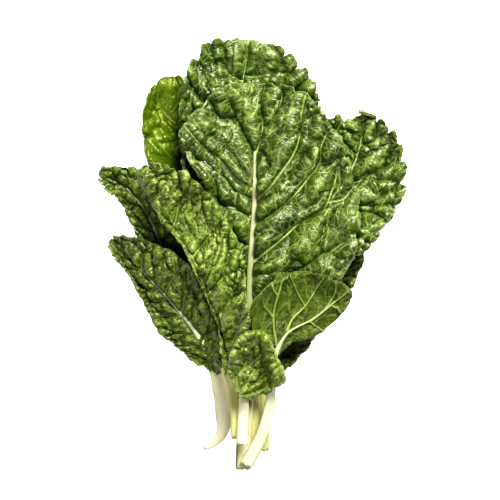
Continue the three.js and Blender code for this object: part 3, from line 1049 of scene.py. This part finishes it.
def makeLeafLook(name, look):
    material, tree, shader, surface = startLook(name)
    place = addNode(tree, "ShaderNodeTexCoord").outputs["Object"]
    mottle = noiseOf(tree, place, leafPattern["mottle"], 4)[0]
    grain = noiseOf(tree, surface, leafPattern["grain"], 3)[0]
    veinlets = edgesOf(tree, surface, leafPattern["veinlets"])
    drift = noiseOf(tree, surface, leafPattern["bends"], 1)["Color"]
    drift = moved(tree, "SCALE", {0: drift, "Scale": leafPattern["threadBend"]})
    threads = edgesOf(tree, moved(tree, "ADD", {0: surface, 1: drift}), leafPattern["threads"])

    # painted shade: dark green in the valleys rising to the fresh green on the swellings, with a random
    # mottle; then the net of fine veins, the folds, the side veins and a painted highlight along the rim
    swell = ranged(tree, fieldOf(tree, "puff"), 0.2, 1.0, 0, 0.75)
    valleyShadeAndMottle = combined(tree, "ADD", swell, ranged(tree, mottle, 0.3, 0.7, -0.15, 0.35))
    colour = blended(tree, valleyShadeAndMottle, look["valleyShade"], look["fresh"])
    rim = fieldOf(tree, "rim")
    fade = ranged(tree, rim, 0.1, 0.95, 1.0, 0.35)
    veinMask = ranged(tree, fieldOf(tree, "veinReach"), 0.5, 1.1, look["veins"], 0)
    masks = [
        ranged(tree, threads, 0.01, 0.07, look["net"] * 0.9, 0),
        ranged(tree, fieldOf(tree, "netReach"), 0.35, 1.1, look["net"], 0),
        ranged(tree, fieldOf(tree, "foldReach"), 0.1, 0.6, look["net"] * 0.4, 0),
        combined(tree, "MULTIPLY", veinMask, fade),
        # painted highlight: a thin pale line along the very edge, in the vein colour
        ranged(tree, rim, 0.98, 1.0, 0, 0.25),
    ]
    for mask in masks:
        colour = blended(tree, mask, colour, look["vein"])

    fine = combined(tree, "ADD", combined(tree, "MULTIPLY", grain, 0.7),
                    ranged(tree, veinlets, 0, 0.12, 0, 0.5))
    fine = combined(tree, "ADD", fine, ranged(tree, threads, 0, 0.16, 0, 0.9))
    setInputs(tree, shader, {
        "Base Color": colour,
        "Roughness": ranged(tree, mottle, 0.3, 0.7, *look["gloss"]),
        "Specular IOR Level": look["sheen"][0],
        "Specular Tint": (1, 1, look["sheen"][1], 1),
        "Normal": bumpOf(tree, fine, look["bump"], leafPattern["bumpHeight"]),
    })
    return material


# olive is how much dark olive colour is painted along the left edge
stalkLooks = {
    "white_stalk": {
        "flesh": (0.41, 0.40, 0.29, 1), "shade": (0.33, 0.32, 0.18, 1), "neck": (0.36, 0.38, 0.17, 1),
        "rib": (0.28, 0.29, 0.16, 1), "cut": (0.24, 0.18, 0.08, 1), "olive": 0,
    },
    # painted light: a brighter copy of the white stalk, making up for the shadow that falls on left_low's
    # stalk
    "cream_stalk_painted_lighter": {
        "flesh": (0.50, 0.48, 0.33, 1), "shade": (0.40, 0.38, 0.22, 1), "neck": (0.46, 0.45, 0.22, 1),
        "rib": (0.26, 0.27, 0.17, 1), "cut": (0.24, 0.16, 0.07, 1), "olive": 0,
    },
    # painted shade: this stalk's very dark grey-green neck stands for the shadow on main's rib low in the
    # blade's valley
    "khaki_stalk_with_shaded_neck": {
        "flesh": (0.37, 0.34, 0.19, 1), "shade": (0.29, 0.28, 0.13, 1), "neck": (0.12, 0.15, 0.045, 1),
        "rib": (0.26, 0.27, 0.14, 1), "cut": (0.22, 0.17, 0.07, 1), "olive": 0.9,
    },
    "yellow_stalk": {
        "flesh": (0.37, 0.35, 0.14, 1), "shade": (0.27, 0.28, 0.07, 1), "neck": (0.32, 0.34, 0.09, 1),
        "rib": (0.26, 0.31, 0.09, 1), "cut": (0.24, 0.19, 0.07, 1), "olive": 0,
    },
}


stalkPattern = {"fibres": 900, "fibreStretch": 0.05, "blotch": 40, "oliveColour": (0.06, 0.08, 0.012, 1),
                "roughness": 0.52, "specular": 0.22, "bump": 0.3, "bumpHeight": 0.0005}


def makeStalkLook(name, look):
    material, tree, shader, surface = startLook(name)
    stretch = (1, stalkPattern["fibreStretch"], 1)
    stretched = addNode(tree, "ShaderNodeMapping", {"Vector": surface, "Scale": stretch}).outputs[0]
    fibres = noiseOf(tree, stretched, stalkPattern["fibres"], 3)[0]
    blotch = noiseOf(tree, surface, stalkPattern["blotch"], 3)[0]
    side, fromCut = fieldOf(tree, "side"), fieldOf(tree, "fromCut")
    edge = combined(tree, "ABSOLUTE", side)
    colour = look["flesh"]
    layers = [
        (ranged(tree, fibres, 0.4, 0.65, 0, 0.6), look["shade"]),
        (ranged(tree, blotch, 0.4, 0.7, 0, 0.5), look["shade"]),
        # painted shade: both flanks darker where the stalk curves away
        (ranged(tree, edge, 0.72, 1.0, 0, 0.6), look["shade"]),
        (ranged(tree, side, -0.9, -0.66, look["olive"], 0), stalkPattern["oliveColour"]),
        # the neck towards the blade: a greener tint, and on the khaki stalk a painted shade
        (ranged(tree, fromCut, 0.8, 1.1, 0, 0.85), look["neck"]),
        (ranged(tree, fromCut, 1.42, 1.6, 0, 1), look["rib"]),
        (ranged(tree, fieldOf(tree, "cutFace"), 0, 1, 0, 0.8), look["cut"]),
    ]
    for mask, layer in layers:
        colour = blended(tree, mask, colour, layer)
    setInputs(tree, shader, {
        "Base Color": colour,
        "Roughness": stalkPattern["roughness"],
        "Specular IOR Level": stalkPattern["specular"],
        "Normal": bumpOf(tree, fibres, stalkPattern["bump"], stalkPattern["bumpHeight"]),
    })
    return material


looks = {name: makeLeafLook(name, look) for name, look in leafLooks.items()}
looks.update({name: makeStalkLook(name, look) for name, look in stalkLooks.items()})
print("materials ready")

for leafName, leaf in leaves.items():
    buildBlade(leafName, leaf)
    buildStalk(leafName, leaf)
    print(f"{leafName} laid, pile {pile.max():.1f} mm")
